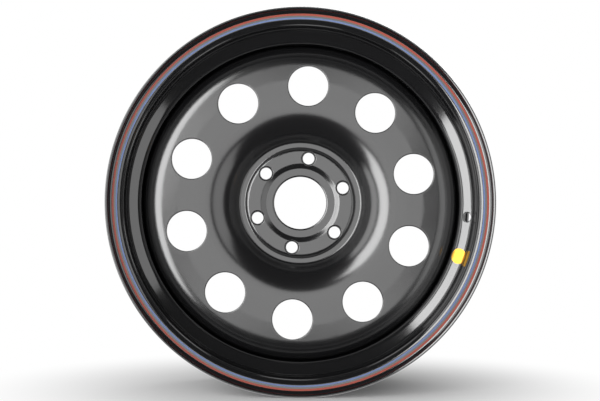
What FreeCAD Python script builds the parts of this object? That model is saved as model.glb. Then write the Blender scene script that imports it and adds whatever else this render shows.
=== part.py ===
"""Steel wheel, 17 x 8 J: rolled rim, stamped disc with round vents, welds, pinstripes and foil dot.

The wheel stands upright about its own centre. It spins about Y, its outer face looks along -Y, Z is up.
Sections are drawn as (axial, radial) points, where axial counts from the rim's centre plane towards the
outer face. Angles are seen from the outer face, counter-clockwise from +X. Sizes are millimetres, degrees.
"""
import FreeCAD, Part
import math
import os

# Rim
bead_seat_radius = 218.3
rim_width = 203.2
rim_sheet = 2.9
flange_height = 17.3
flange_curl_radius = 9.5
flange_curl_drop_angle = 25.0
flange_tip_straight = 1.2
flange_tip_rounding = 0.9
bead_corner_radius = 6.5
bead_seat_taper_angle = 5.0
hump_setback = 20.5
hump_half_width = 4.2
hump_rise = 1.1
hump_rounding = 7.0
ledge_length = 30.0
ledge_rounding = 5.0
well_wall_angle = 30.0
well_wall_rounding = 5.0
well_depth = 17.4
well_width = 50.0
well_ramp_angle = 35.0
well_ramp_rounding = 14.0
barrel_depth = 8.0
barrel_rounding = 14.0
barrel_end_setback = 36.0

# Valve hole
valve_hole_radius = 5.75
valve_hole_angle = -5.1

# Disc
disc_sheet = 5.0
disc_fit_clearance = 0.05
disc_flange_end = 24.0
disc_crown_height = 62.0
shoulder_angle = 30.0
shoulder_radius = 14.0
shoulder_run = 16.9
brow_angle = 8.0
brow_radius = 45.0
brow_run = 31.0
crown_radius = 290.0
funnel_angle = 50.0
funnel_radius = 55.0

# Hub face
wheel_offset = 30.0
hub_bore_radius = 33.05
hub_bore_chamfer = 0.8
inner_land_radius = 43.5
inner_step_angle = 25.0
land_rounding = 2.5
bolt_ring_rise = 3.0
bolt_ring_rounding = 6.0
outer_step_angle = 40.0
outer_land_inner_radius = 70.0
outer_land_outer_radius = 77.0
outer_land_rounding = 5.0

# Stud holes
stud_circle_diameter = 114.3
stud_count = 6
stud_hole_radius = 7.25
stud_seat_radius = 9.0
stud_seat_angle = 60.0
stud_first_angle = 19.3

# Vents
vent_radius = 25.0
vent_circle_diameter = 292.0
vent_count = 10
vent_first_angle = 14.1
vent_front_rounding = 1.2

# Welds between the disc's flange and the rim
weld_leg = 5.0
weld_bulge = 0.8
weld_arc_angle = 24.0
weld_count = 8

# Pinstripe tapes on the outer flange, with their middles this high over the bead seat
tape_thickness = 0.15
red_stripe_height = 8.7
red_stripe_width = 2.4
blue_stripe_height = 4.4
blue_stripe_width = 1.8
tape_joint_angle = 167.5
tape_joint_gap = 0.7

# Foil dot on the well wall
foil_thickness = 0.15
foil_radius = 9.6
foil_angle = -18.8

# Room that a cutting tool has past the faces it cuts
tool_overrun = 20.0

outward = FreeCAD.Vector(0, -1, 0)
origin = FreeCAD.Vector(0, 0, 0)


def tan(angle):
    return math.tan(math.radians(angle))


def sin(angle):
    return math.sin(math.radians(angle))


def cos(angle):
    return math.cos(math.radians(angle))


class Corner:
    """One corner of a section: its place and the radius that rounds it, 0 for a sharp one."""

    def __init__(self, axial, radial, rounding=0.0):
        self.axial = axial
        self.radial = radial
        self.rounding = rounding

    def point(self):
        return FreeCAD.Vector(self.radial, -self.axial, 0)


def direction(start, end):
    return (end.point() - start.point()).normalize()


def offset_path(corners, distance):
    """The open path moved sideways, so that bends keep their centres and change their radius."""
    runs = [direction(a, b) for a, b in zip(corners, corners[1:])]
    runs = [runs[0]] + runs + [runs[-1]]
    moved = []
    for corner, before, after in zip(corners, runs, runs[1:]):
        sides = [FreeCAD.Vector(-run.y, run.x, 0) for run in (before, after)]
        middle = (sides[0] + sides[1]) / (1 + sides[0].dot(sides[1]))
        place = corner.point() + middle * distance
        turn = before.cross(after).z
        bend = distance if turn < 0 else -distance
        rounding = corner.rounding + bend if corner.rounding else 0.0
        moved.append(Corner(-place.y, place.x, rounding))
    return moved


def rounded_face(corners):
    """A face bounded by straight runs between the corners, with an arc at each rounded corner."""
    edges = []
    ends = []
    count = len(corners)
    for i in range(count):
        place = corners[i].point()
        back = direction(corners[i], corners[i - 1])
        ahead = direction(corners[i], corners[(i + 1) % count])
        half = back.getAngle(ahead) / 2
        if not corners[i].rounding:
            ends.append((place, place))
            continue
        reach = corners[i].rounding / math.tan(half)
        sagitta = corners[i].rounding / math.sin(half) - corners[i].rounding
        start = place + back * reach
        middle = place + (back + ahead).normalize() * sagitta
        end = place + ahead * reach
        edges.append(Part.Arc(start, middle, end).toShape())
        ends.append((start, end))
    for i in range(count):
        edges.append(Part.LineSegment(ends[i - 1][1], ends[i][0]).toShape())
    return Part.Face(Part.Wire(Part.__sortEdges__(edges)))


def turned(corners, angle=360.0):
    return rounded_face(corners).revolve(origin, outward, angle)


def sheet_section(path, thickness, tip_rounding=0.0):
    """The closed section of a sheet that has the path on one side and its offset on the other."""
    other = offset_path(path, thickness)
    for tip in (path[0], path[-1], other[0], other[-1]):
        tip.rounding = tip_rounding
    return path + other[::-1]


def placed(shape, angle):
    """The shape turned about the wheel's axis from +X to the given angle."""
    copy = shape.copy()
    copy.rotate(origin, outward, angle)
    return copy


def ring_of(shape, count, first_angle):
    return [placed(shape, first_angle + i * 360.0 / count) for i in range(count)]


def seat_radius(setback):
    """The tyre side of the tapered bead seat, at a distance from its flange."""
    return bead_seat_radius - setback * tan(bead_seat_taper_angle)


def flange_path():
    """Tip, curl, bead corner and hump of the outer flange, on the tyre side."""
    half = rim_width / 2
    drop = flange_curl_drop_angle
    curl_centre = bead_seat_radius + flange_height - flange_curl_radius
    curl_corner = curl_centre + flange_curl_radius * tan((90 + drop) / 2)
    tip_axial = half + flange_curl_radius * (1 + sin(drop)) + flange_tip_straight * cos(drop)
    tip_radial = curl_centre + flange_curl_radius * cos(drop) - flange_tip_straight * sin(drop)
    before_hump = hump_setback - hump_half_width
    after_hump = hump_setback + hump_half_width
    return [
        Corner(tip_axial, tip_radial),
        Corner(half, curl_corner, flange_curl_radius),
        Corner(half, bead_seat_radius, bead_corner_radius),
        Corner(half - before_hump, seat_radius(before_hump), hump_rounding),
        Corner(half - hump_setback, seat_radius(hump_setback) + hump_rise, hump_rounding),
        Corner(half - after_hump, seat_radius(after_hump), hump_rounding),
    ]


def well_radius():
    """The tyre side of the well's floor."""
    return bead_seat_radius - well_depth


def ledge_corner():
    return Corner(rim_width / 2 - ledge_length, seat_radius(ledge_length), ledge_rounding)


def well_corner():
    """The outer corner of the well's floor, at the foot of the wall that holds the valve hole."""
    top = ledge_corner()
    drop = top.radial - well_radius()
    return Corner(top.axial - drop * tan(well_wall_angle), well_radius(), well_wall_rounding)


def rim_path():
    """The whole rim on its tyre side, from the outer tip to the inner one."""
    outer = flange_path()
    inner = [Corner(-c.axial, c.radial, c.rounding) for c in reversed(outer)]
    well = well_corner()
    barrel_radius = bead_seat_radius - barrel_depth
    ramp_foot = well.axial - well_width
    ramp_run = (barrel_radius - well_radius()) / tan(well_ramp_angle)
    barrel = [
        Corner(ramp_foot, well_radius(), well_ramp_rounding),
        Corner(ramp_foot - ramp_run, barrel_radius, barrel_rounding),
        Corner(barrel_end_setback - rim_width / 2, barrel_radius, barrel_rounding),
    ]
    return outer + [ledge_corner(), well] + barrel + inner


def wall_point(depth):
    """A place on the well wall's sloped middle, this far into the air from the tyre side, facing +X."""
    top = ledge_corner()
    foot = well_corner()
    axial = (top.axial + foot.axial) / 2 + depth * cos(well_wall_angle)
    radial = (top.radial + foot.radial) / 2 - depth * sin(well_wall_angle)
    return FreeCAD.Vector(radial, -axial, 0)


def wall_tool(radius, angle):
    """A cylinder square to the well wall, through its middle."""
    outwards = FreeCAD.Vector(-sin(well_wall_angle), -cos(well_wall_angle), 0)
    start = wall_point(rim_sheet) - outwards * tool_overrun / 2
    return placed(Part.makeCylinder(radius, tool_overrun, start, outwards), angle)


def make_rim():
    hoop = turned(sheet_section(rim_path(), rim_sheet, flange_tip_rounding))
    return hoop.cut(wall_tool(valve_hole_radius, valve_hole_angle))


def disc_path():
    """The disc's outer side, from the edge of its flange over the crown to the bore."""
    fit_radius = well_radius() - rim_sheet - disc_fit_clearance
    land = wheel_offset + disc_sheet
    bolt_ring = land + bolt_ring_rise
    brow_radial = fit_radius - shoulder_run * cos(shoulder_angle)
    crown_radial = brow_radial - brow_run * cos(brow_angle)
    brow_axial = disc_crown_height - brow_run * sin(brow_angle)
    shoulder_axial = brow_axial - shoulder_run * sin(shoulder_angle)
    funnel_top = outer_land_outer_radius + (disc_crown_height - land) / tan(funnel_angle)
    outer_step = bolt_ring_rise / tan(outer_step_angle)
    inner_step = bolt_ring_rise / tan(inner_step_angle)
    return [
        Corner(disc_flange_end, fit_radius),
        Corner(shoulder_axial, fit_radius, shoulder_radius),
        Corner(brow_axial, brow_radial, brow_radius),
        Corner(disc_crown_height, crown_radial, crown_radius),
        Corner(disc_crown_height, funnel_top, funnel_radius),
        Corner(land, outer_land_outer_radius, outer_land_rounding),
        Corner(land, outer_land_inner_radius, land_rounding),
        Corner(bolt_ring, outer_land_inner_radius - outer_step, bolt_ring_rounding),
        Corner(bolt_ring, inner_land_radius + inner_step, bolt_ring_rounding),
        Corner(land, inner_land_radius, land_rounding),
        Corner(land, hub_bore_radius),
    ]


def stud_tool():
    """The drill and the conical nut seat of one stud hole, on +X."""
    seat_face = wheel_offset + disc_sheet + bolt_ring_rise
    seat_depth = (stud_seat_radius - stud_hole_radius) / tan(stud_seat_angle / 2)
    mouth_radius = stud_seat_radius + tool_overrun * tan(stud_seat_angle / 2)
    centre = stud_circle_diameter / 2
    drill_start = FreeCAD.Vector(centre, tool_overrun - seat_face, 0)
    drill = Part.makeCylinder(stud_hole_radius, 2 * tool_overrun, drill_start, outward)
    seat_start = FreeCAD.Vector(centre, seat_depth - seat_face, 0)
    seat_length = seat_depth + tool_overrun
    return drill.fuse(Part.makeCone(stud_hole_radius, mouth_radius, seat_length, seat_start, outward))


def vent_tool():
    start = FreeCAD.Vector(vent_circle_diameter / 2, tool_overrun - disc_crown_height, 0)
    return Part.makeCylinder(vent_radius, 2 * tool_overrun, start, outward)


def bore_chamfer_tools():
    """Two cones that break the edges of the hub bore."""
    small = hub_bore_radius
    large = hub_bore_radius + hub_bore_chamfer + tool_overrun
    length = hub_bore_chamfer + tool_overrun
    front = FreeCAD.Vector(0, hub_bore_chamfer - wheel_offset - disc_sheet, 0)
    back = FreeCAD.Vector(0, -hub_bore_chamfer - wheel_offset, 0)
    return [
        Part.makeCone(small, large, length, front, outward),
        Part.makeCone(small, large, length, back, -outward),
    ]


def vent_front_edges(disc):
    """The edges where the vents' walls meet the disc's outer side."""
    edges = []
    for face in disc.Faces:
        if not isinstance(face.Surface, Part.Cylinder):
            continue
        if abs(face.Surface.Radius - vent_radius) > Part.Precision.confusion():
            continue
        middle = face.BoundBox.Center.y
        edges += [e for e in face.Edges if e.BoundBox.YMax < middle]
    return edges


def make_disc():
    pressing = turned(sheet_section(disc_path(), -disc_sheet))
    holes = ring_of(stud_tool(), stud_count, stud_first_angle)
    vents = ring_of(vent_tool(), vent_count, vent_first_angle)
    disc = pressing.cut(holes + vents + bore_chamfer_tools())
    return disc.makeFillet(vent_front_rounding, vent_front_edges(disc))


def make_welds():
    """Fillet weld beads between the edge of the disc's flange and the rim's well."""
    floor = well_radius() - rim_sheet
    root = FreeCAD.Vector(floor, -disc_flange_end, 0)
    on_rim = root + FreeCAD.Vector(0, weld_leg, 0)
    on_disc = root - FreeCAD.Vector(weld_leg, 0, 0)
    throat = (on_rim + on_disc) / 2
    crest = throat + (throat - root).normalize() * weld_bulge
    edges = [
        Part.LineSegment(root, on_rim).toShape(),
        Part.Arc(on_rim, crest, on_disc).toShape(),
        Part.LineSegment(on_disc, root).toShape(),
    ]
    bead = Part.Face(Part.Wire(edges)).revolve(origin, outward, weld_arc_angle)
    return Part.makeCompound(ring_of(bead, weld_count, -weld_arc_angle / 2))


def skin_section(path, thickness):
    """A thin layer on the air side of the rim, along part of its path."""
    return sheet_section(offset_path(path, rim_sheet), thickness)


def make_stripe(height, width):
    """A tape round the outer flange, with a narrow gap where its two ends meet."""
    middle_radius = bead_seat_radius + height
    gap_angle = math.degrees(tape_joint_gap / middle_radius)
    layer = turned(skin_section(flange_path()[:4], tape_thickness), 360.0 - gap_angle)
    reach = rim_width / 2 + tool_overrun
    band = [
        Corner(0, middle_radius - width / 2),
        Corner(reach, middle_radius - width / 2),
        Corner(reach, middle_radius + width / 2),
        Corner(0, middle_radius + width / 2),
    ]
    return placed(layer.common(turned(band)), tape_joint_angle + gap_angle / 2)


def make_foil():
    """A round foil dot that follows the well wall and its rounded foot."""
    path = flange_path()[-1:] + [ledge_corner(), well_corner()]
    path.append(Corner(path[-1].axial - well_width, well_radius()))
    layer = turned(skin_section(path, foil_thickness))
    return layer.common(wall_tool(foil_radius, foil_angle))


def export(name, shape):
    """Writes one piece, or a group of like pieces, as its own file."""
    shape.exportStep(os.path.join("parts", name + ".step"))


os.makedirs("parts", exist_ok=True)
export("rim", make_rim())
export("disc", make_disc())
export("disc_welds", make_welds())
export("red_pinstripe", make_stripe(red_stripe_height, red_stripe_width))
export("blue_pinstripe", make_stripe(blue_stripe_height, blue_stripe_width))
export("foil_dot", make_foil())
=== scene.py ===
"""Dresses a black steel wheel: rim and disc pressings, rippled welds, tapes, foil dot and a studio."""
import math
from collections import namedtuple

import bmesh
import bpy
import numpy as np
from bpy.props import FloatProperty, FloatVectorProperty, IntProperty, PointerProperty
from mathutils import Euler, Matrix, Vector


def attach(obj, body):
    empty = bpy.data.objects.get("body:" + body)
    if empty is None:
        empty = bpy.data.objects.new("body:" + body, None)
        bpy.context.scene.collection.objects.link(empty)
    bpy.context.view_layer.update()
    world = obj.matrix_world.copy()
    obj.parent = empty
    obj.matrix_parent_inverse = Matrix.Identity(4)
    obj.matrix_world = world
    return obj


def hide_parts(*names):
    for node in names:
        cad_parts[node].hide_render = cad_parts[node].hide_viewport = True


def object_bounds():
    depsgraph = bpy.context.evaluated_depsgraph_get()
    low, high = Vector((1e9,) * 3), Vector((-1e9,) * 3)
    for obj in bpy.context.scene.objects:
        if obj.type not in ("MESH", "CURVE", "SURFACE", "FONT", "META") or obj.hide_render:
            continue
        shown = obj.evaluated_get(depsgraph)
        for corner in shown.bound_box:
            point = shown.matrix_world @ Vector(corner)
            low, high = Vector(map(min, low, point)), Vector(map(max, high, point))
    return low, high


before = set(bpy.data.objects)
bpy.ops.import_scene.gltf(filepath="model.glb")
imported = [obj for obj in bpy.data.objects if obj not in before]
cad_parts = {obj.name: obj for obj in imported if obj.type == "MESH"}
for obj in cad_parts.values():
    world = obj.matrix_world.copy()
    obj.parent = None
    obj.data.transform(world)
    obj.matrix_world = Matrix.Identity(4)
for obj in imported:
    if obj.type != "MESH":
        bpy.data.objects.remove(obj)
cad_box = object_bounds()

bl_info = {
    "name": "Steel Wheel",
    "version": (1, 0, 0),
    "blender": (4, 5, 0),
    "location": "View3D > Sidebar > Steel Wheel",
    "description": "Builds a black steel wheel with pinstripes around its packed frame",
    "category": "Add Mesh",
}

MM = 0.001
ARC_STEP = math.radians(7.0)
LONGEST_RUN = 4 * MM
WELD_DISTANCE = 2e-6


def length(name, description, millimetres):
    """A size in metres whose default is written in millimetres."""
    return FloatProperty(name=name, description=description, default=millimetres * MM, unit="LENGTH")


def angle(name, description, degrees):
    """An angle in radians whose default is written in degrees."""
    return FloatProperty(name=name, description=description, default=math.radians(degrees), unit="ROTATION")


def colour(name, description, red, green, blue):
    """A linear colour."""
    return FloatVectorProperty(name=name, description=description, default=(red, green, blue), size=3,
                               min=0.0, max=1.0, subtype="COLOR")


class RimSizes(bpy.types.PropertyGroup):
    """Section of the rolled rim, on its tyre side."""
    seat: length("Bead seat radius", "Nominal radius of the tyre's seat", 218.3)
    width: length("Width", "Distance between the flanges", 203.2)
    sheet: length("Sheet", "Thickness of the rolled strip", 2.9)
    flange: length("Flange height", "Height of the flange over its seat", 17.3)
    curl: length("Curl radius", "Radius of the flange's outward curl", 9.5)
    curl_drop: angle("Curl drop", "How far the curl turns past its top", 25.0)
    tip: length("Tip", "Straight run at the end of the curl", 1.2)
    tip_rounding: length("Tip rounding", "Rounding of the sheet's cut edge", 0.9)
    corner: length("Bead corner", "Radius between flange and seat", 6.5)
    taper: angle("Seat taper", "Slope of the bead seat", 5.0)
    hump: length("Hump setback", "Distance of the safety hump from its flange", 20.5)
    hump_half: length("Hump half width", "Half the hump's width", 4.2)
    hump_rise: length("Hump rise", "Height of the hump over the seat", 1.1)
    hump_rounding: length("Hump rounding", "Radius of the hump's bends", 7.0)
    ledge: length("Ledge", "Distance of the well's wall from the flange", 30.0)
    ledge_rounding: length("Ledge rounding", "Radius at the top of the well's wall", 5.0)
    wall: angle("Wall slope", "Lean of the well's outer wall", 30.0)
    well: length("Well depth", "Depth of the well under the seat", 17.4)
    well_rounding: length("Well rounding", "Radius at the foot of the well's wall", 5.0)
    well_width: length("Well width", "Width of the well's floor", 50.0)
    ramp: angle("Ramp", "Slope from the well up to the barrel", 35.0)
    barrel: length("Barrel depth", "Depth of the barrel under the seat", 8.0)
    barrel_end: length("Barrel end", "Where the barrel meets the inner seat", 36.0)
    barrel_rounding: length("Barrel rounding", "Radius of the barrel's bends", 14.0)
    valve: length("Valve hole radius", "Radius of the valve hole", 5.75)
    valve_turn: angle("Valve hole turn", "Place of the valve hole round the rim", -5.1)


class DiscSizes(bpy.types.PropertyGroup):
    """Section of the stamped disc, on its outer side."""
    sheet: length("Sheet", "Thickness of the pressing", 5.0)
    fit: length("Fit", "Gap between the disc's flange and the rim", 0.05)
    flange_end: length("Flange end", "Inner edge of the disc's flange", 24.0)
    crown: length("Crown", "Height of the crown over the rim's centre plane", 62.0)
    shoulder: angle("Shoulder slope", "Slope of the shoulder", 30.0)
    shoulder_radius: length("Shoulder radius", "Radius between shoulder and flange", 14.0)
    shoulder_run: length("Shoulder run", "Length of the shoulder's slope", 16.9)
    brow: angle("Brow slope", "Slope of the outer vent belt", 8.0)
    brow_radius: length("Brow radius", "Radius between belt and shoulder", 45.0)
    brow_run: length("Brow run", "Length of the brow's slope", 31.0)
    crown_radius: length("Crown radius", "Radius of the vent belt's crown", 290.0)
    funnel: angle("Funnel slope", "Slope of the funnel down to the hub face", 50.0)
    funnel_radius: length("Funnel radius", "Radius of the funnel's lip", 55.0)
    offset: length("Offset", "Mounting plane over the rim's centre plane", 30.0)
    bore: length("Bore radius", "Radius of the pilot bore", 33.05)
    bore_chamfer: length("Bore chamfer", "Broken edge of the bore", 0.8)
    inner_land: length("Inner land", "Outer radius of the inner land", 43.5)
    inner_step: angle("Inner step", "Slope from inner land to bolt ring", 25.0)
    land_rounding: length("Land rounding", "Radius at the lands", 2.5)
    rise: length("Bolt ring rise", "Height of the bolt ring over the lands", 3.0)
    ring_rounding: length("Bolt ring rounding", "Radius of the bolt ring's edges", 6.0)
    outer_step: angle("Outer step", "Slope from bolt ring to outer land", 40.0)
    outer_land_in: length("Outer land start", "Inner radius of the outer land", 70.0)
    outer_land_out: length("Outer land end", "Outer radius of the outer land", 77.0)
    outer_rounding: length("Funnel foot", "Radius at the funnel's foot", 5.0)
    stud_circle: length("Stud circle radius", "Radius of the circle of stud holes", 57.15)
    stud_count: IntProperty(name="Studs", description="Number of stud holes", default=6, min=3)
    stud_hole: length("Stud hole radius", "Radius of a stud hole", 7.25)
    stud_seat: length("Stud seat radius", "Radius of a nut seat's mouth", 9.0)
    stud_cone: angle("Stud cone", "Half angle of the nut seat's cone", 30.0)
    stud_turn: angle("Stud turn", "Turn of the first stud hole", 19.3)
    vent_circle: length("Vent circle radius", "Radius of the circle of vents", 146.0)
    vent_count: IntProperty(name="Vents", description="Number of vents", default=10, min=3)
    vent: length("Vent radius", "Radius of a vent", 25.0)
    vent_rounding: length("Vent rounding", "Rounded outer edge of a vent", 1.2)
    vent_turn: angle("Vent turn", "Turn of the first vent", 14.1)


class TrimSizes(bpy.types.PropertyGroup):
    """Weld beads between disc and rim."""
    weld_radius: length("Weld radius", "Distance of the weld beads from the axle", 195.5)
    weld_pitch: length("Weld pitch", "Distance between the ripples of a bead", 1.7)


class Finishes(bpy.types.PropertyGroup):
    """Colours of the paints, tapes and foil."""
    black: colour("Black paint", "Stove paint of rim and disc", 0.005, 0.005, 0.0055)
    red: colour("Red tape", "Red pinstripe", 0.34, 0.045, 0.02)
    blue: colour("Blue tape", "Blue pinstripe", 0.11, 0.17, 0.36)
    gold: colour("Gold foil", "Metallised film of the dot", 0.86, 0.47, 0.07)
    floor: colour("Floor", "Pale studio floor", 0.86, 0.86, 0.86)


def sizes():
    """Sizes of the rim, the disc and the trim."""
    return bpy.context.scene.rim_sizes, bpy.context.scene.disc_sizes, bpy.context.scene.trim_sizes


def finishes():
    """Colours of the finishes."""
    return bpy.context.scene.wheel_finishes


# Sections: corners are (axial, radial, rounding), with axial counted towards the outer face

def offset_corners(corners, distance):
    """The open path moved to its left, so that bends keep their centres and change their radius."""
    points = np.array([c[:2] for c in corners])
    runs = np.diff(points, axis=0)
    runs /= np.linalg.norm(runs, axis=1)[:, None]
    runs = np.vstack([runs[:1], runs, runs[-1:]])
    moved = []
    for (axial, radial, rounding), before, after in zip(corners, runs, runs[1:]):
        sides = [np.array([run[1], -run[0]]) for run in (before, after)]
        shift = (sides[0] + sides[1]) / (1 + sides[0] @ sides[1]) * distance
        turn = before[0] * after[1] - before[1] * after[0]
        bend = math.copysign(distance, turn * distance) if abs(turn) > 1e-9 else 0.0
        moved.append((axial + shift[0], radial + shift[1], rounding + bend if rounding else 0.0))
    return moved


def sampled(corners, closed=False):
    """Points along the path: one at each sharp corner, and an arc at each rounded one."""
    count = len(corners)
    points = []
    for i, (axial, radial, rounding) in enumerate(corners):
        place = np.array([axial, radial])
        end_corner = not closed and i in (0, count - 1)
        if not rounding or end_corner:
            points.append(place)
            continue
        back = np.array(corners[i - 1][:2]) - place
        ahead = np.array(corners[(i + 1) % count][:2]) - place
        back /= np.linalg.norm(back)
        ahead /= np.linalg.norm(ahead)
        half = math.acos(np.clip(back @ ahead, -1, 1)) / 2
        middle = back + ahead
        centre = place + middle / np.linalg.norm(middle) * rounding / math.sin(half)
        start = place + back * rounding / math.tan(half) - centre
        end = place + ahead * rounding / math.tan(half) - centre
        sweep = math.pi - 2 * half
        steps = max(2, math.ceil(sweep / ARC_STEP))
        for t in np.linspace(0, 1, steps + 1):
            spoke = start * math.sin((1 - t) * sweep) + end * math.sin(t * sweep)
            points.append(centre + spoke / math.sin(sweep))
    return np.array(points)


def with_runs_split(points, longest):
    """The same line with extra points, so that no run is longer than the given length."""
    out = [points[0]]
    for a, b in zip(points, points[1:]):
        steps = max(1, math.ceil(np.linalg.norm(b - a) / longest))
        out += [a + (b - a) * (k + 1) / steps for k in range(steps)]
    return np.array(out)


def flange_corners():
    """Tip, curl, bead corner and hump of the outer flange, on the tyre side."""
    rim = sizes()[0]
    half = rim.width / 2
    drop = rim.curl_drop
    centre = rim.seat + rim.flange - rim.curl
    top = centre + rim.curl * math.tan((math.pi / 2 + drop) / 2)
    tip_axial = half + rim.curl * (1 + math.sin(drop)) + rim.tip * math.cos(drop)
    tip_radial = centre + rim.curl * math.cos(drop) - rim.tip * math.sin(drop)
    taper = math.tan(rim.taper)
    before, after = rim.hump - rim.hump_half, rim.hump + rim.hump_half
    return [
        (tip_axial, tip_radial, 0.0),
        (half, top, rim.curl),
        (half, rim.seat, rim.corner),
        (half - before, rim.seat - before * taper, rim.hump_rounding),
        (half - rim.hump, rim.seat - rim.hump * taper + rim.hump_rise, rim.hump_rounding),
        (half - after, rim.seat - after * taper, rim.hump_rounding),
    ]


def wall_corners():
    """Top and foot of the well's outer wall, on the tyre side."""
    rim = sizes()[0]
    top = (rim.width / 2 - rim.ledge, rim.seat - rim.ledge * math.tan(rim.taper), rim.ledge_rounding)
    floor = rim.seat - rim.well
    return [top, (top[0] - (top[1] - floor) * math.tan(rim.wall), floor, rim.well_rounding)]


def rim_corners():
    """The whole rim on its tyre side, from the outer tip to the inner one."""
    rim = sizes()[0]
    outer = flange_corners()
    inner = [(-axial, radial, rounding) for axial, radial, rounding in reversed(outer)]
    wall = wall_corners()
    floor, barrel = wall[1][1], rim.seat - rim.barrel
    foot = wall[1][0] - rim.well_width
    ramp_top = foot - (barrel - floor) / math.tan(rim.ramp)
    middle = [
        (foot, floor, rim.barrel_rounding),
        (ramp_top, barrel, rim.barrel_rounding),
        (rim.barrel_end - rim.width / 2, barrel, rim.barrel_rounding),
    ]
    return outer + wall + middle + inner


def disc_corners():
    """The disc's outer side, from the edge of its flange over the crown to the bore."""
    rim, disc, _ = sizes()
    fit = rim.seat - rim.well - rim.sheet - disc.fit
    land = disc.offset + disc.sheet
    ring = land + disc.rise
    brow_radial = fit - disc.shoulder_run * math.cos(disc.shoulder)
    crown_radial = brow_radial - disc.brow_run * math.cos(disc.brow)
    brow_axial = disc.crown - disc.brow_run * math.sin(disc.brow)
    shoulder_axial = brow_axial - disc.shoulder_run * math.sin(disc.shoulder)
    funnel_top = disc.outer_land_out + (disc.crown - land) / math.tan(disc.funnel)
    return [
        (disc.flange_end, fit, 0.0),
        (shoulder_axial, fit, disc.shoulder_radius),
        (brow_axial, brow_radial, disc.brow_radius),
        (disc.crown, crown_radial, disc.crown_radius),
        (disc.crown, funnel_top, disc.funnel_radius),
        (land, disc.outer_land_out, disc.outer_rounding),
        (land, disc.outer_land_in, disc.land_rounding),
        (ring, disc.outer_land_in - disc.rise / math.tan(disc.outer_step), disc.ring_rounding),
        (ring, disc.inner_land + disc.rise / math.tan(disc.inner_step), disc.ring_rounding),
        (land, disc.inner_land, disc.land_rounding),
        (land, disc.bore, 0.0),
    ]


# Mesh making

class Builder:
    """Collects vertices and quads of one piece."""

    def __init__(self):
        self.vertices = []
        self.faces = []
        self.count = 0

    def grid(self, points, closed=False):
        """Adds a grid of points, shaped (rows, columns, 3), as quads, and joins the ends of closed rows."""
        rows, columns = points.shape[:2]
        start = self.count
        self.vertices.append(points.reshape(-1, 3))
        self.count += rows * columns
        for i in range(rows - 1):
            below = start + i * columns
            above = below + columns
            for j in range(columns if closed else columns - 1):
                k = (j + 1) % columns
                self.faces.append((below + j, below + k, above + k, above + j))

    def mesh(self, name):
        """The finished mesh, welded and turned outwards."""
        mesh = bpy.data.meshes.new(name)
        mesh.from_pydata(np.vstack(self.vertices).tolist(), [], self.faces)
        return cleaned(mesh)


def cleaned(mesh):
    """Merges doubles, drops flat slivers, points faces outwards and shades the mesh smooth."""
    work = bmesh.new()
    work.from_mesh(mesh)
    bmesh.ops.remove_doubles(work, verts=work.verts, dist=WELD_DISTANCE)
    bmesh.ops.dissolve_degenerate(work, edges=work.edges, dist=WELD_DISTANCE)
    bmesh.ops.recalc_face_normals(work, faces=work.faces)
    for face in work.faces:
        face.smooth = True
    work.to_mesh(mesh)
    work.free()
    return mesh


def turned_points(section, angles):
    """Section points turned to each angle about the axle: rows follow the section, columns the angles."""
    axial, radial = section[:, 0][:, None], section[:, 1][:, None]
    angles = np.atleast_2d(angles)
    return np.stack([radial * np.cos(angles), -axial + 0 * angles, radial * np.sin(angles)], axis=-1)


def new_object(name, mesh, material):
    """A linked object at the origin with one material."""
    mesh.materials.clear()
    mesh.materials.append(material)
    piece = bpy.data.objects.new(name, mesh)
    bpy.context.scene.collection.objects.link(piece)
    return piece


def add_node(tree, kind, **settings):
    """A new node with these settings."""
    node = tree.nodes.new(kind)
    for key, value in settings.items():
        setattr(node, key, value)
    return node


def repeat_tree():
    """Geometry nodes that repeat one sector round the axle and weld the copies together."""
    tree = bpy.data.node_groups.new("Repeat round the axle", "GeometryNodeTree")
    face = tree.interface
    face.new_socket("Sector", in_out="INPUT", socket_type="NodeSocketGeometry")
    for name in ("Count", "Steps", "First"):
        face.new_socket(name, in_out="INPUT", socket_type="NodeSocketInt")
    face.new_socket("Weld distance", in_out="INPUT", socket_type="NodeSocketFloat")
    face.new_socket("Finish", in_out="INPUT", socket_type="NodeSocketMaterial")
    face.new_socket("Ring", in_out="OUTPUT", socket_type="NodeSocketGeometry")
    inputs = add_node(tree, "NodeGroupInput")
    points = add_node(tree, "GeometryNodePoints")
    index = add_node(tree, "GeometryNodeInputIndex")
    place = add_node(tree, "ShaderNodeMath", operation="ADD")
    share = add_node(tree, "ShaderNodeMath", operation="DIVIDE")
    share.inputs[0].default_value = 2 * math.pi
    turn = add_node(tree, "ShaderNodeMath", operation="MULTIPLY")
    spin = add_node(tree, "ShaderNodeCombineXYZ")
    copies = add_node(tree, "GeometryNodeInstanceOnPoints")
    realize = add_node(tree, "GeometryNodeRealizeInstances")
    weld = add_node(tree, "GeometryNodeMergeByDistance")
    finish = add_node(tree, "GeometryNodeSetMaterial")
    output = add_node(tree, "NodeGroupOutput")
    links = [
        (inputs.outputs["Count"], points.inputs["Count"]),
        (inputs.outputs["Steps"], share.inputs[1]),
        (index.outputs[0], place.inputs[0]),
        (inputs.outputs["First"], place.inputs[1]),
        (share.outputs[0], turn.inputs[0]),
        (place.outputs[0], turn.inputs[1]),
        (turn.outputs[0], spin.inputs["Y"]),
        (points.outputs[0], copies.inputs["Points"]),
        (inputs.outputs["Sector"], copies.inputs["Instance"]),
        (spin.outputs[0], copies.inputs["Rotation"]),
        (copies.outputs[0], realize.inputs[0]),
        (realize.outputs[0], weld.inputs["Geometry"]),
        (inputs.outputs["Weld distance"], weld.inputs["Distance"]),
        (weld.outputs[0], finish.inputs["Geometry"]),
        (inputs.outputs["Finish"], finish.inputs["Material"]),
        (finish.outputs[0], output.inputs[0]),
    ]
    for a, b in links:
        tree.links.new(a, b)
    return tree


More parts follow.
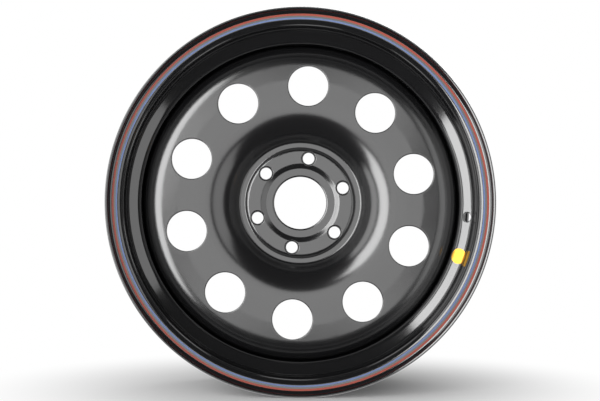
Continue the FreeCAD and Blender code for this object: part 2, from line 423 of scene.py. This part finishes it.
def set_inputs(modifier, **values):
    """Sets a geometry nodes modifier's inputs by the identifiers of their sockets."""
    for item in modifier.node_group.interface.items_tree:
        key = item.name.replace(" ", "_").lower()
        if item.in_out == "INPUT" and key in values:
            modifier[item.identifier] = values[key]


def baked(source, tree, material, **values):
    """The mesh that the tree makes of the source mesh, with nothing left behind."""
    carrier = new_object("carrier", source, material)
    modifier = carrier.modifiers.new("tree", "NODES")
    modifier.node_group = tree
    set_inputs(modifier, finish=material, **values)
    graph = bpy.context.evaluated_depsgraph_get()
    mesh = bpy.data.meshes.new_from_object(carrier.evaluated_get(graph), depsgraph=graph)
    bpy.data.objects.remove(carrier)
    return mesh


def joined(name, meshes):
    """Several meshes as one, welded where they meet."""
    work = bmesh.new()
    for mesh in meshes:
        work.from_mesh(mesh)
    whole = bpy.data.meshes.new(name)
    work.to_mesh(whole)
    work.free()
    return cleaned(whole)


def sector_outline(low, high, half_angle, across, along):
    """Points round a sector in (radius, angle), counter-clockwise from its inner low-angle corner."""
    turn = np.linspace(-half_angle, half_angle, across + 1)
    reach = np.linspace(low, high, along + 1)
    return np.vstack([
        np.column_stack([reach[:-1], np.full(along, -half_angle)]),
        np.column_stack([np.full(across, high), turn[:-1]]),
        np.column_stack([reach[:0:-1], np.full(along, half_angle)]),
        np.column_stack([np.full(across, low), turn[:0:-1]]),
    ])


def eased(count, power):
    """Fractions from 0 to 1, closer together near 0."""
    return np.linspace(0, 1, count) ** power


def pierced_patch(outline, hole, height, rings, power):
    """A sheet's surface between a round hole and a sector's outline, all in plan (x, z)."""
    rows = []
    for t in eased(rings, power):
        plan = hole * (1 - t) + outline * t
        rows.append(np.column_stack([plan[:, 0], -height(plan), plan[:, 1]]))
    return np.array(rows)


def plan_of(polar):
    """Places in plan (x, z) of points given as (radius, angle)."""
    return np.column_stack([polar[:, 0] * np.cos(polar[:, 1]), polar[:, 0] * np.sin(polar[:, 1])])


def profile_height(section):
    """A function that gives the section's axial height over a place in plan."""
    order = np.argsort(section[:, 1], kind="stable")
    radial, axial = section[order, 1], section[order, 0]

    def height(plan):
        return np.interp(np.hypot(plan[:, 0], plan[:, 1]), radial, axial)

    return height


def hole_round(centre, radius, toward):
    """Points of a circle about the hole's centre, each towards one outline point."""
    around = np.arctan2(toward[:, 1], toward[:, 0] - centre)
    return np.column_stack([centre + radius * np.cos(around), radius * np.sin(around)])


def part_of(section, low, high):
    """The stretch of a section between two radii, ends included."""
    radial = section[:, 1]
    inside = section[(radial > low + WELD_DISTANCE) & (radial < high - WELD_DISTANCE)]
    order = np.argsort(radial, kind="stable")
    ends = [[np.interp(r, radial[order], section[order, 0]), r] for r in (high, low)]
    return np.vstack([ends[:1], inside[np.argsort(-inside[:, 1], kind="stable")], ends[1:]])


def disc_sections():
    """Outer and inner side of the disc, sampled."""
    disc = sizes()[1]
    corners = disc_corners()
    front = with_runs_split(sampled(corners), LONGEST_RUN)
    back = with_runs_split(sampled(offset_corners(corners, disc.sheet)), LONGEST_RUN)
    return front, back


# Radii between which the vents and the stud holes are pierced, and the steps of those patches
BELT_LOW, BELT_HIGH = 117 * MM, 175 * MM
RING_LOW, RING_HIGH = 45 * MM, 69.5 * MM
DISC_STEPS = 360
BELT_STEPS = 20
RING_STEPS = 14
VENT_EDGE_STEPS = 4
VENT_RINGS_FRONT, VENT_RINGS_BACK, VENT_EASE = 12, 8, 1.3
STUD_RINGS_FRONT, STUD_RINGS_BACK, STUD_EASE = 12, 10, 1.2
SEAT_EDGE_OUT, SEAT_EDGE_IN, SEAT_EDGE_DEPTH = 0.35 * MM, 0.1 * MM, 0.3 * MM


def belt_sector(front, back):
    """One vent and its share of the belt, shoulder, flange and funnel, whose foot meets the hub's steps."""
    disc = sizes()[1]
    half = math.pi / disc.vent_count
    across = DISC_STEPS // disc.vent_count
    turn = np.linspace(-half, half, across + 1)
    piece = Builder()
    step = 2 * math.pi / DISC_STEPS
    slip = (disc.stud_turn - disc.vent_turn) % step
    for side in (front, back):
        outer = side[side[:, 1] >= side[:, 1].max() - WELD_DISTANCE]
        flange = outer[np.argsort(outer[:, 0])][:-1]
        piece.grid(turned_points(np.vstack([flange, part_of(side, BELT_HIGH, side[:, 1].max())]), turn))
        funnel = part_of(side, disc.outer_land_out, BELT_LOW)
        slips = slip * np.linspace(0, 1, len(funnel))
        piece.grid(turned_points(funnel, turn + slips[:, None]))
    piece.grid(turned_points(np.array([front[0], back[0]]), turn))
    outline = plan_of(sector_outline(BELT_LOW, BELT_HIGH, half, across, BELT_STEPS))
    front_height, back_height = profile_height(front), profile_height(back)
    rounding = disc.vent_rounding
    mouth = hole_round(disc.vent_circle, disc.vent + rounding, outline)
    throat = hole_round(disc.vent_circle, disc.vent, outline)
    wall = []
    for bend in np.linspace(0, math.pi / 2, VENT_EDGE_STEPS + 1):
        plan = hole_round(disc.vent_circle, disc.vent + rounding * (1 - math.sin(bend)), outline)
        axial = front_height(plan) - rounding * (1 - math.cos(bend))
        wall.append(np.column_stack([plan[:, 0], -axial, plan[:, 1]]))
    wall.append(np.column_stack([throat[:, 0], -back_height(throat), throat[:, 1]]))
    piece.grid(pierced_patch(outline, mouth, front_height, VENT_RINGS_FRONT, VENT_EASE), closed=True)
    piece.grid(np.array(wall), closed=True)
    piece.grid(pierced_patch(outline, throat, back_height, VENT_RINGS_BACK, VENT_EASE), closed=True)
    return piece.mesh("belt_sector")


def hub_sector(front, back):
    """One stud hole and its share of the hub face, from the funnel's foot to the bore."""
    disc = sizes()[1]
    half = math.pi / disc.stud_count
    across = DISC_STEPS // disc.stud_count
    turn = np.linspace(-half, half, across + 1)
    piece = Builder()
    chamfer = disc.bore_chamfer
    bore_edges = []
    for side, inward in ((front, -1), (back, 1)):
        piece.grid(turned_points(part_of(side, RING_HIGH, disc.outer_land_out), turn))
        piece.grid(turned_points(part_of(side, disc.bore + chamfer, RING_LOW), turn))
        land = side[np.argmin(side[:, 1])][0]
        bore_edges += [[land, disc.bore + chamfer], [land + inward * chamfer, disc.bore]][::-inward]
    piece.grid(turned_points(np.array(bore_edges), turn))
    outline = plan_of(sector_outline(RING_LOW, RING_HIGH, half, across, RING_STEPS))
    front_height, back_height = profile_height(front), profile_height(back)
    centre = disc.stud_circle
    mouth = hole_round(centre, disc.stud_seat + SEAT_EDGE_OUT, outline)
    seat = hole_round(centre, disc.stud_seat - SEAT_EDGE_IN, outline)
    throat = hole_round(centre, disc.stud_hole, outline)
    face = disc.offset + disc.sheet + disc.rise
    depth = (disc.stud_seat - disc.stud_hole) / math.tan(disc.stud_cone)
    seat_axial = np.minimum(front_height(seat), face) - SEAT_EDGE_DEPTH
    cone = [
        np.column_stack([mouth[:, 0], -front_height(mouth), mouth[:, 1]]),
        np.column_stack([seat[:, 0], -seat_axial, seat[:, 1]]),
        np.column_stack([throat[:, 0], np.full(len(throat), depth - face), throat[:, 1]]),
        np.column_stack([throat[:, 0], -back_height(throat), throat[:, 1]]),
    ]
    piece.grid(pierced_patch(outline, mouth, front_height, STUD_RINGS_FRONT, STUD_EASE), closed=True)
    piece.grid(np.array(cone), closed=True)
    piece.grid(pierced_patch(outline, throat, back_height, STUD_RINGS_BACK, STUD_EASE), closed=True)
    return piece.mesh("hub_sector")


RIM_SECTORS = 36
RIM_STEPS = 8
PATCH_HALF = 8.6 * MM
PATCH_STEPS = 12
VALVE_RINGS, VALVE_EASE = 8, 1.2
SEARCH_STEPS = 20000


def rim_loop():
    """The rim's closed section: tyre side from the outer tip to the inner one, then back on the air side."""
    rim = sizes()[0]
    path = rim_corners()
    other = offset_corners(path, -rim.sheet)
    tips = [(a, r, rim.tip_rounding) for a, r, _ in (path[0], path[-1], other[-1], other[0])]
    corners = tips[:1] + path[1:-1] + tips[1:2] + tips[2:3] + other[-2:0:-1] + tips[3:]
    return sampled(corners, closed=True)


def wall_middle(depth):
    """Middle of the well's wall, this deep into the air from the tyre side, as (axial, radial)."""
    rim = sizes()[0]
    top, foot = wall_corners()
    return np.array([
        (top[0] + foot[0]) / 2 + depth * math.cos(rim.wall),
        (top[1] + foot[1]) / 2 - depth * math.sin(rim.wall),
    ])


def run_lengths(points):
    """How far along a line each of its points lies."""
    return np.concatenate([[0], np.cumsum(np.linalg.norm(np.diff(points, axis=0), axis=1))])


def along(points, lengths, where):
    """Points of a line at the given lengths from its start."""
    return np.column_stack([np.interp(where, lengths, points[:, k]) for k in (0, 1)])


def nearest_length(points, lengths, place):
    """How far along a line its point nearest to a place lies."""
    fine = np.linspace(0, lengths[-1], SEARCH_STEPS)
    return fine[np.argmin(np.linalg.norm(along(points, lengths, fine) - place, axis=1))]


def rim_sector(pierced):
    """A narrow sector of the rim; the pierced one has the valve hole in its well wall."""
    rim = sizes()[0]
    half = math.pi / RIM_SECTORS
    turn = np.linspace(-half, half, RIM_STEPS + 1)
    loop = rim_loop()
    closed = np.vstack([loop, loop[:1]])
    lengths = run_lengths(closed)
    piece = Builder()
    cuts = []
    for depth in (0.0, rim.sheet):
        middle = nearest_length(closed, lengths, wall_middle(depth))
        cuts.append((middle - PATCH_HALF, middle + PATCH_HALF))
    stops = [0.0] + sorted(sum(cuts, ())) + [lengths[-1]]
    for start, end in zip(stops[0::2], stops[1::2]):
        inside = closed[(lengths > start + WELD_DISTANCE) & (lengths < end - WELD_DISTANCE)]
        ends = along(closed, lengths, [start, end])
        piece.grid(turned_points(np.vstack([ends[:1], inside, ends[1:]]), turn))
    rings = []
    for start, end in cuts:
        if not pierced:
            piece.grid(turned_points(along(closed, lengths, np.linspace(start, end, PATCH_STEPS + 1)), turn))
            continue
        middle = (start + end) / 2
        radius = along(closed, lengths, [middle])[0, 1]
        outline = sector_outline(start, end, half, RIM_STEPS, PATCH_STEPS)
        around = np.arctan2(outline[:, 1] * radius, outline[:, 0] - middle)
        hole = np.column_stack([middle + rim.valve * np.cos(around), rim.valve * np.sin(around) / radius])
        rows = []
        for t in eased(VALVE_RINGS, VALVE_EASE):
            place = hole * (1 - t) + outline * t
            section = along(closed, lengths, place[:, 0])
            rows.append(np.column_stack([
                section[:, 1] * np.cos(place[:, 1]),
                -section[:, 0],
                section[:, 1] * np.sin(place[:, 1]),
            ]))
        piece.grid(np.array(rows), closed=True)
        rings.append(rows[0])
    if pierced:
        air = rings[1]
        order = [np.argmin(np.linalg.norm(air - p, axis=1)) for p in rings[0]]
        piece.grid(np.array([rings[0], air[order]]), closed=True)
    return piece.mesh("rim_sector")


# Materials

def material_tree(name):
    """A new material with its node tree and its Principled shader."""
    material = bpy.data.materials.new(name)
    material.use_nodes = True
    tree = material.node_tree
    tree.nodes.clear()
    shader = add_node(tree, "ShaderNodeBsdfPrincipled")
    output = add_node(tree, "ShaderNodeOutputMaterial")
    tree.links.new(shader.outputs[0], output.inputs["Surface"])
    return material, tree, shader


def polar_coordinates(tree):
    """Object coordinates, and sockets for the angle about the axle and the distance from it."""
    place = add_node(tree, "ShaderNodeTexCoord")
    split = add_node(tree, "ShaderNodeSeparateXYZ")
    turn = add_node(tree, "ShaderNodeMath", operation="ARCTAN2")
    flat = add_node(tree, "ShaderNodeVectorMath", operation="MULTIPLY")
    flat.inputs[1].default_value = (1, 0, 1)
    reach = add_node(tree, "ShaderNodeVectorMath", operation="LENGTH")
    tree.links.new(place.outputs["Object"], split.inputs[0])
    tree.links.new(split.outputs["Z"], turn.inputs[0])
    tree.links.new(split.outputs["X"], turn.inputs[1])
    tree.links.new(place.outputs["Object"], flat.inputs[0])
    tree.links.new(flat.outputs[0], reach.inputs[0])
    return place.outputs["Object"], turn.outputs[0], reach.outputs["Value"]


def noise(tree, vector, scale, detail):
    """Socket of a noise from 0 to 1."""
    node = add_node(tree, "ShaderNodeTexNoise")
    node.inputs["Scale"].default_value = scale
    node.inputs["Detail"].default_value = detail
    tree.links.new(vector, node.inputs["Vector"])
    return node.outputs["Fac"]


def ranged(tree, value, low, high):
    """Socket that brings a value from 0 to 1 into a range."""
    node = add_node(tree, "ShaderNodeMapRange")
    node.inputs["To Min"].default_value = low
    node.inputs["To Max"].default_value = high
    tree.links.new(value, node.inputs["Value"])
    return node.outputs[0]


def bumped(tree, height, distance, strength, normal=None):
    """Socket of the normal of a bumpy surface, over an earlier normal if there is one."""
    node = add_node(tree, "ShaderNodeBump")
    node.inputs["Distance"].default_value = distance
    node.inputs["Strength"].default_value = strength
    tree.links.new(height, node.inputs["Height"])
    if normal:
        tree.links.new(normal, node.inputs["Normal"])
    return node.outputs[0]


def paint(name, roughness, streaks=0.0, ripples=0.0):
    """Black stove paint with orange peel, faint radial draw marks of a pressing, or the ripples of a weld."""
    material, tree, shader = material_tree(name)
    shader.inputs["Base Color"].default_value = (*finishes().black, 1)
    shader.inputs["IOR"].default_value = 1.65
    shader.inputs["Specular IOR Level"].default_value = 1.0
    place, turn, reach = polar_coordinates(tree)
    normal = bumped(tree, noise(tree, place, scale=420, detail=2), distance=0.02 * MM, strength=0.35)
    if streaks:
        polar = add_node(tree, "ShaderNodeCombineXYZ")
        tree.links.new(turn, polar.inputs[0])
        stretched = add_node(tree, "ShaderNodeVectorMath", operation="MULTIPLY")
        stretched.inputs[1].default_value = (60, 12, 1)
        tree.links.new(reach, polar.inputs[1])
        tree.links.new(polar.outputs[0], stretched.inputs[0])
        marks = noise(tree, stretched.outputs[0], scale=1.5, detail=3)
        normal = bumped(tree, marks, 0.05 * MM, streaks, normal)
    if ripples:
        waves = add_node(tree, "ShaderNodeMath", operation="MULTIPLY")
        waves.inputs[1].default_value = 2 * math.pi * sizes()[2].weld_radius / sizes()[2].weld_pitch
        crest = add_node(tree, "ShaderNodeMath", operation="SINE")
        tree.links.new(turn, waves.inputs[0])
        tree.links.new(waves.outputs[0], crest.inputs[0])
        normal = bumped(tree, crest.outputs[0], 0.2 * MM, ripples, normal)
    tree.links.new(normal, shader.inputs["Normal"])
    haze = noise(tree, place, scale=35, detail=4)
    tree.links.new(ranged(tree, haze, *roughness), shader.inputs["Roughness"])
    return material


def tape(name, tint):
    """Gloss vinyl tape with a slightly uneven surface."""
    material, tree, shader = material_tree(name)
    place = add_node(tree, "ShaderNodeTexCoord").outputs["Object"]
    mix = add_node(tree, "ShaderNodeMix", data_type="RGBA")
    mix.inputs["A"].default_value = (*tint, 1)
    mix.inputs["B"].default_value = (*[0.75 * part for part in tint], 1)
    tree.links.new(noise(tree, place, scale=90, detail=3), mix.inputs["Factor"])
    tree.links.new(mix.outputs["Result"], shader.inputs["Base Color"])
    grain = noise(tree, place, scale=300, detail=2)
    tree.links.new(bumped(tree, grain, distance=0.03 * MM, strength=0.4), shader.inputs["Normal"])
    shader.inputs["Roughness"].default_value = 0.22
    return material


def gold_film():
    """Metallised gold film with fine wrinkles."""
    material, tree, shader = material_tree("gold_film")
    place = add_node(tree, "ShaderNodeTexCoord").outputs["Object"]
    shader.inputs["Base Color"].default_value = (*finishes().gold, 1)
    shader.inputs["Metallic"].default_value = 1.0
    haze = noise(tree, place, scale=250, detail=3)
    wrinkles = noise(tree, place, scale=260, detail=3)
    tree.links.new(ranged(tree, haze, low=0.35, high=0.55), shader.inputs["Roughness"])
    tree.links.new(bumped(tree, wrinkles, distance=0.1 * MM, strength=0.5), shader.inputs["Normal"])
    return material


# Operators

class WHEEL_OT_disc(bpy.types.Operator):
    """Builds the stamped disc as one smooth pressing"""
    bl_idname = "wheel.disc"
    bl_label = "Disc"

    def execute(self, context):
        disc = sizes()[1]
        finish = paint("disc_paint", (0.17, 0.22), streaks=0.35)
        front, back = disc_sections()
        tree = repeat_tree()
        parts = []
        for sector, count, turn in (
            (belt_sector(front, back), disc.vent_count, disc.vent_turn),
            (hub_sector(front, back), disc.stud_count, disc.stud_turn),
        ):
            ring = baked(sector, tree, finish, count=count, steps=count, first=0, weld_distance=WELD_DISTANCE)
            ring.transform(Euler((0, -turn, 0)).to_matrix().to_4x4())
            parts.append(ring)
        piece = new_object("stamped_disc", joined("stamped_disc", parts), finish)
        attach(piece, "root")
        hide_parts("disc")
        return {"FINISHED"}


class WHEEL_OT_rim(bpy.types.Operator):
    """Builds the rolled rim with its valve hole"""
    bl_idname = "wheel.rim"
    bl_label = "Rim"

    def execute(self, context):
        rim = sizes()[0]
        finish = paint("rim_paint", (0.08, 0.13))
        plain = baked(rim_sector(False), repeat_tree(), finish,
                      count=RIM_SECTORS - 1, steps=RIM_SECTORS, first=1, weld_distance=WELD_DISTANCE)
        ring = joined("rolled_rim", [plain, rim_sector(True)])
        ring.transform(Euler((0, -rim.valve_turn, 0)).to_matrix().to_4x4())
        piece = new_object("rolled_rim", ring, finish)
        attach(piece, "root")
        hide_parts("rim")
        return {"FINISHED"}


class WHEEL_OT_trim(bpy.types.Operator):
    """Finishes the tapes, the foil dot and the welds"""
    bl_idname = "wheel.trim"
    bl_label = "Trim"

    def execute(self, context):
        tints = finishes()
        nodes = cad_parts
        for node, material in (
            ("red_pinstripe", tape("red_vinyl", tints.red)),
            ("blue_pinstripe", tape("blue_vinyl", tints.blue)),
            ("foil_dot", gold_film()),
            ("disc_welds", paint("weld_paint", (0.15, 0.25), ripples=0.8)),
        ):
            for slot in nodes[node].material_slots:
                slot.material = material
        return {"FINISHED"}


# Studio: softboxes are tilted from the wheel's front and turned about its axle from the right, in degrees

LAMP_DISTANCE = 2.2
Softbox = namedtuple("Softbox", "name tilt turn breadth height radiance")
SOFTBOXES = (
    Softbox("left_key", tilt=37, turn=169, breadth=56, height=26, radiance=5.2),
    Softbox("far_left", tilt=74, turn=170, breadth=70, height=34, radiance=1.8),
    Softbox("right_fill", tilt=42, turn=0, breadth=48, height=30, radiance=1.1),
    Softbox("front", tilt=1, turn=90, breadth=40, height=45, radiance=1.5),
    Softbox("rear", tilt=150, turn=70, breadth=40, height=14, radiance=3.0),
)


def lamp(softbox):
    """A soft lamp that faces the wheel."""
    tilt, turn = math.radians(softbox.tilt), math.radians(softbox.turn)
    light = bpy.data.lights.new(softbox.name, "AREA")
    light.shape = "RECTANGLE"
    light.size = 2 * LAMP_DISTANCE * math.tan(math.radians(softbox.breadth) / 2)
    light.size_y = 2 * LAMP_DISTANCE * math.tan(math.radians(softbox.height) / 2)
    light.energy = softbox.radiance * math.pi * light.size * light.size_y
    back = Vector((math.sin(tilt) * math.cos(turn), -math.cos(tilt), math.sin(tilt) * math.sin(turn)))
    side = Vector((-math.sin(turn), 0, math.cos(turn)))
    holder = bpy.data.objects.new(softbox.name, light)
    holder.matrix_world = Matrix((side, back.cross(side), back)).transposed().to_4x4()
    holder.location = back * LAMP_DISTANCE
    bpy.context.scene.collection.objects.link(holder)


CAMERA_PLACE = (-0.0056, -1.543, -0.0333)
CAMERA_PITCH = math.radians(1.38)
CAMERA_YAW = math.radians(0.2)
CAMERA_LENS = 71.4
SENSOR_WIDTH = 36.0
FLOOR_REACH = 30.0
FADE_START, FADE_END = 0.05, 0.45
FLAG_RADIUS, FLAG_BACK = 4.0, 0.1
FILL_LEVEL = 0.1


class WHEEL_OT_stage(bpy.types.Operator):
    """Sets up the pale floor, the white surround, the lamps and the camera"""
    bl_idname = "wheel.stage"
    bl_label = "Stage"

    def execute(self, context):
        scene = context.scene
        scene.view_settings.view_transform = "Standard"
        self.floor()
        self.flags()
        self.world(scene)
        for softbox in SOFTBOXES:
            lamp(softbox)
        camera = bpy.data.cameras.new("camera")
        camera.lens = CAMERA_LENS
        camera.sensor_width = SENSOR_WIDTH
        holder = bpy.data.objects.new("camera", camera)
        holder.location = CAMERA_PLACE
        holder.rotation_euler = (math.pi / 2 + CAMERA_PITCH, 0, -CAMERA_YAW)
        scene.collection.objects.link(holder)
        scene.camera = holder
        return {"FINISHED"}

    def floor(self):
        """A pale floor that holds the wheel's shadow and fades into the white surround."""
        material, tree, shader = material_tree("pale_floor")
        shader.inputs["Base Color"].default_value = (*finishes().floor, 1)
        shader.inputs["Roughness"].default_value = 0.9
        shader.inputs["Specular IOR Level"].default_value = 0.0
        place = add_node(tree, "ShaderNodeTexCoord")
        reach = add_node(tree, "ShaderNodeVectorMath", operation="LENGTH")
        fade = add_node(tree, "ShaderNodeMapRange", interpolation_type="SMOOTHSTEP")
        fade.inputs["From Min"].default_value = FADE_START
        fade.inputs["From Max"].default_value = FADE_END
        white = add_node(tree, "ShaderNodeEmission")
        mix = add_node(tree, "ShaderNodeMixShader")
        output = next(node for node in tree.nodes if node.type == "OUTPUT_MATERIAL")
        tree.links.new(place.outputs["Object"], reach.inputs[0])
        tree.links.new(reach.outputs["Value"], fade.inputs["Value"])
        tree.links.new(fade.outputs[0], mix.inputs["Fac"])
        tree.links.new(shader.outputs[0], mix.inputs[1])
        tree.links.new(white.outputs[0], mix.inputs[2])
        tree.links.new(mix.outputs[0], output.inputs["Surface"])
        white.inputs["Color"].default_value = (1, 1, 1, 1)
        material.cycles.emission_sampling = "NONE"
        work = bmesh.new()
        bmesh.ops.create_grid(work, x_segments=1, y_segments=1, size=FLOOR_REACH)
        mesh = bpy.data.meshes.new("floor")
        work.to_mesh(mesh)
        work.free()
        piece = new_object("floor", mesh, material)
        piece.location.z = cad_box[0][2]
        piece.visible_glossy = False
        piece.visible_shadow = False

    def flags(self):
        """A dark half dome on the camera's side that only gloss can see."""
        material, tree, shader = material_tree("dark_flag")
        shader.inputs["Base Color"].default_value = (0.02, 0.02, 0.02, 1)
        work = bmesh.new()
        bmesh.ops.create_uvsphere(work, u_segments=48, v_segments=24, radius=FLAG_RADIUS)
        gone = [v for v in work.verts if v.co.y > FLAG_BACK]
        bmesh.ops.delete(work, geom=gone, context="VERTS")
        mesh = bpy.data.meshes.new("dark_flag")
        work.to_mesh(mesh)
        work.free()
        piece = new_object("dark_flag", mesh, material)
        piece.visible_camera = False
        piece.visible_diffuse = False
        piece.visible_shadow = False
        piece.visible_transmission = False

    def world(self, scene):
        """White to the camera and to gloss, a plain grey to everything else."""
        world = bpy.data.worlds.new("studio")
        world.use_nodes = True
        tree = world.node_tree
        tree.nodes.clear()
        rays = add_node(tree, "ShaderNodeLightPath")
        gloss = add_node(tree, "ShaderNodeMath", operation="MAXIMUM")
        seen = add_node(tree, "ShaderNodeMath", operation="MAXIMUM")
        strength = add_node(tree, "ShaderNodeMapRange")
        strength.inputs["To Min"].default_value = FILL_LEVEL
        strength.inputs["To Max"].default_value = 1.0
        background = add_node(tree, "ShaderNodeBackground")
        background.inputs["Color"].default_value = (1, 1, 1, 1)
        output = add_node(tree, "ShaderNodeOutputWorld")
        tree.links.new(rays.outputs["Is Glossy Ray"], gloss.inputs[0])
        tree.links.new(rays.outputs["Is Transmission Ray"], gloss.inputs[1])
        tree.links.new(gloss.outputs[0], seen.inputs[0])
        tree.links.new(rays.outputs["Is Camera Ray"], seen.inputs[1])
        tree.links.new(seen.outputs[0], strength.inputs["Value"])
        tree.links.new(strength.outputs[0], background.inputs["Strength"])
        tree.links.new(background.outputs[0], output.inputs["Surface"])
        scene.world = world


class WHEEL_PT_panel(bpy.types.Panel):
    """Lists the wheel's operators"""
    bl_idname = "WHEEL_PT_panel"
    bl_label = "Steel Wheel"
    bl_space_type = "VIEW_3D"
    bl_region_type = "UI"
    bl_category = "Steel Wheel"

    def draw(self, context):
        for operator in OPERATORS:
            self.layout.operator(operator.bl_idname)


GROUPS = (RimSizes, DiscSizes, TrimSizes, Finishes)
OPERATORS = (WHEEL_OT_rim, WHEEL_OT_disc, WHEEL_OT_trim, WHEEL_OT_stage)
POINTERS = {
    "rim_sizes": RimSizes,
    "disc_sizes": DiscSizes,
    "trim_sizes": TrimSizes,
    "wheel_finishes": Finishes,
}


def register():
    """Adds the classes and their settings to Blender."""
    for item in GROUPS + OPERATORS + (WHEEL_PT_panel,):
        bpy.utils.register_class(item)
    for name, group in POINTERS.items():
        setattr(bpy.types.Scene, name, PointerProperty(type=group))


def unregister():
    """Takes the settings and the classes out again."""
    for name in POINTERS:
        delattr(bpy.types.Scene, name)
    for item in reversed(GROUPS + OPERATORS + (WHEEL_PT_panel,)):
        bpy.utils.unregister_class(item)


def main():
    """Builds the wheel and its stage."""
    register()
    bpy.ops.wheel.rim()
    bpy.ops.wheel.disc()
    bpy.ops.wheel.trim()
    bpy.ops.wheel.stage()


if __name__ == "__main__":
    main()
